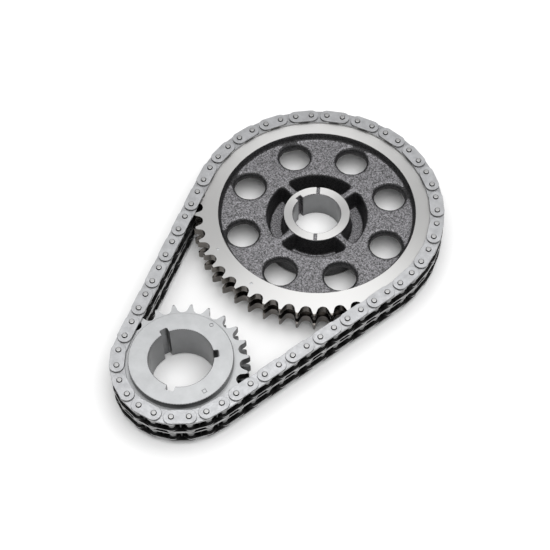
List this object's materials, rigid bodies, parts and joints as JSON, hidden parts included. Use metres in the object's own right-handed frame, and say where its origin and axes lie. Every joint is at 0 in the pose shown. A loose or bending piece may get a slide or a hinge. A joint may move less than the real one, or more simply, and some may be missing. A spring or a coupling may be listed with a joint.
{
  "type": "roller chain",
  "caption": "Duplex roller chain looped taut round a large lightened cam sprocket and a small keyed crank sprocket, as one timing drive.",
  "frame": {"origin": "on the crank bore's axis, halfway between the two rows of rollers", "axes": "+Z along the bores towards the front of the drive, +Y from the crank bore to the cam bore, +X to the tight side of the chain"},
  "size_m": [0.1476, 0.2391, 0.0265],
  "materials": {
    "cam_casting": "rough grey casting, machined bright on the rim, hub face and bore",
    "crank_steel": "matte machined steel",
    "outer_plate": "satin, tumbled edges",
    "middle_plate": "satin, darker",
    "inner_plate": "satin, darker",
    "pin": "bright riveted heads",
    "bush": "dark steel",
    "roller": "dark polished steel"
  },
  "bodies": {
    "tight_run": {"tight_run_outer_plates": "outer_plate", "tight_run_middle_plates": "middle_plate", "tight_run_pins": "pin", "tight_run_inner_plates": "inner_plate", "tight_run_bushes": "bush", "tight_run_rollers": "roller"},
    "cam_drive": {"cam_sprocket": "cam_casting", "cam_wrap_outer_plates": "outer_plate", "cam_wrap_middle_plates": "middle_plate", "cam_wrap_pins": "pin", "cam_wrap_inner_plates": "inner_plate", "cam_wrap_bushes": "bush", "cam_wrap_rollers": "roller"},
    "crank_drive": {"crank_sprocket": "crank_steel", "crank_wrap_outer_plates": "outer_plate", "crank_wrap_middle_plates": "middle_plate", "crank_wrap_pins": "pin", "crank_wrap_inner_plates": "inner_plate", "crank_wrap_bushes": "bush", "crank_wrap_rollers": "roller"},
    "slack_run": {"slack_run_outer_plates": "outer_plate", "slack_run_middle_plates": "middle_plate", "slack_run_pins": "pin", "slack_run_inner_plates": "inner_plate", "slack_run_bushes": "bush", "slack_run_rollers": "roller"},
    "tight_cam_link": {"tight_cam_link_inner_plates": "inner_plate", "tight_cam_link_bushes": "bush", "tight_cam_link_rollers": "roller"},
    "slack_cam_link": {"slack_cam_link_outer_plates": "outer_plate", "slack_cam_link_middle_plates": "middle_plate", "slack_cam_link_pins": "pin"},
    "tight_crank_link": {"tight_crank_link_outer_plates": "outer_plate", "tight_crank_link_middle_plates": "middle_plate", "tight_crank_link_pins": "pin"},
    "slack_crank_link": {"slack_crank_link_inner_plates": "inner_plate", "slack_crank_link_bushes": "bush", "slack_crank_link_rollers": "roller"}
  },
  "joints": [
    {"name": "cam_turn", "type": "hinge", "parent": "tight_run", "child": "cam_drive", "pos_m": [0.06708, 0.10685, 0], "axis": [0, 0, 1], "range_deg": [-1.5, 1.5]},
    {"name": "crank_turn", "type": "hinge", "parent": "tight_run", "child": "crank_drive", "pos_m": [0.03362, -0.00965, 0], "axis": [0, 0, 1], "range_deg": [-3, 3]},
    {"name": "slack_run_travel", "type": "slide", "parent": "tight_run", "child": "slack_run", "axis": [0, -1, 0], "range_m": [-0.00352, 0.00352]},
    {"name": "tight_cam_link_pivot", "type": "hinge", "parent": "cam_drive", "child": "tight_cam_link", "pos_m": [0.06815, 0.11108, 0], "axis": [0, 0, 1], "range_deg": [-0.81, 0.81]},
    {"name": "slack_cam_link_pivot", "type": "hinge", "parent": "cam_drive", "child": "slack_cam_link", "pos_m": [-0.0685, 0.11276, 0], "axis": [0, 0, 1], "range_deg": [-0.54, 0.54]},
    {"name": "tight_crank_link_pivot", "type": "hinge", "parent": "crank_drive", "child": "tight_crank_link", "pos_m": [0.03065, -0.01685, 0], "axis": [0, 0, 1], "range_deg": [-0.55, 0.55]},
    {"name": "slack_crank_link_pivot", "type": "hinge", "parent": "crank_drive", "child": "slack_crank_link", "pos_m": [-0.03144, -0.01533, 0], "axis": [0, 0, 1], "range_deg": [-1.09, 1.09]}
  ],
  "couplings": [
    {"joint": "crank_turn", "follows": "cam_turn", "ratio": 2},
    {"joint": "slack_run_travel", "follows": "cam_turn", "m_per_rad": 0.13431},
    {"joint": "tight_cam_link_pivot", "follows": "cam_turn", "ratio": -0.54201},
    {"joint": "slack_cam_link_pivot", "follows": "cam_turn", "ratio": -0.36279},
    {"joint": "tight_crank_link_pivot", "follows": "cam_turn", "ratio": -0.36675},
    {"joint": "slack_crank_link_pivot", "follows": "cam_turn", "ratio": -0.72531}
  ]
}
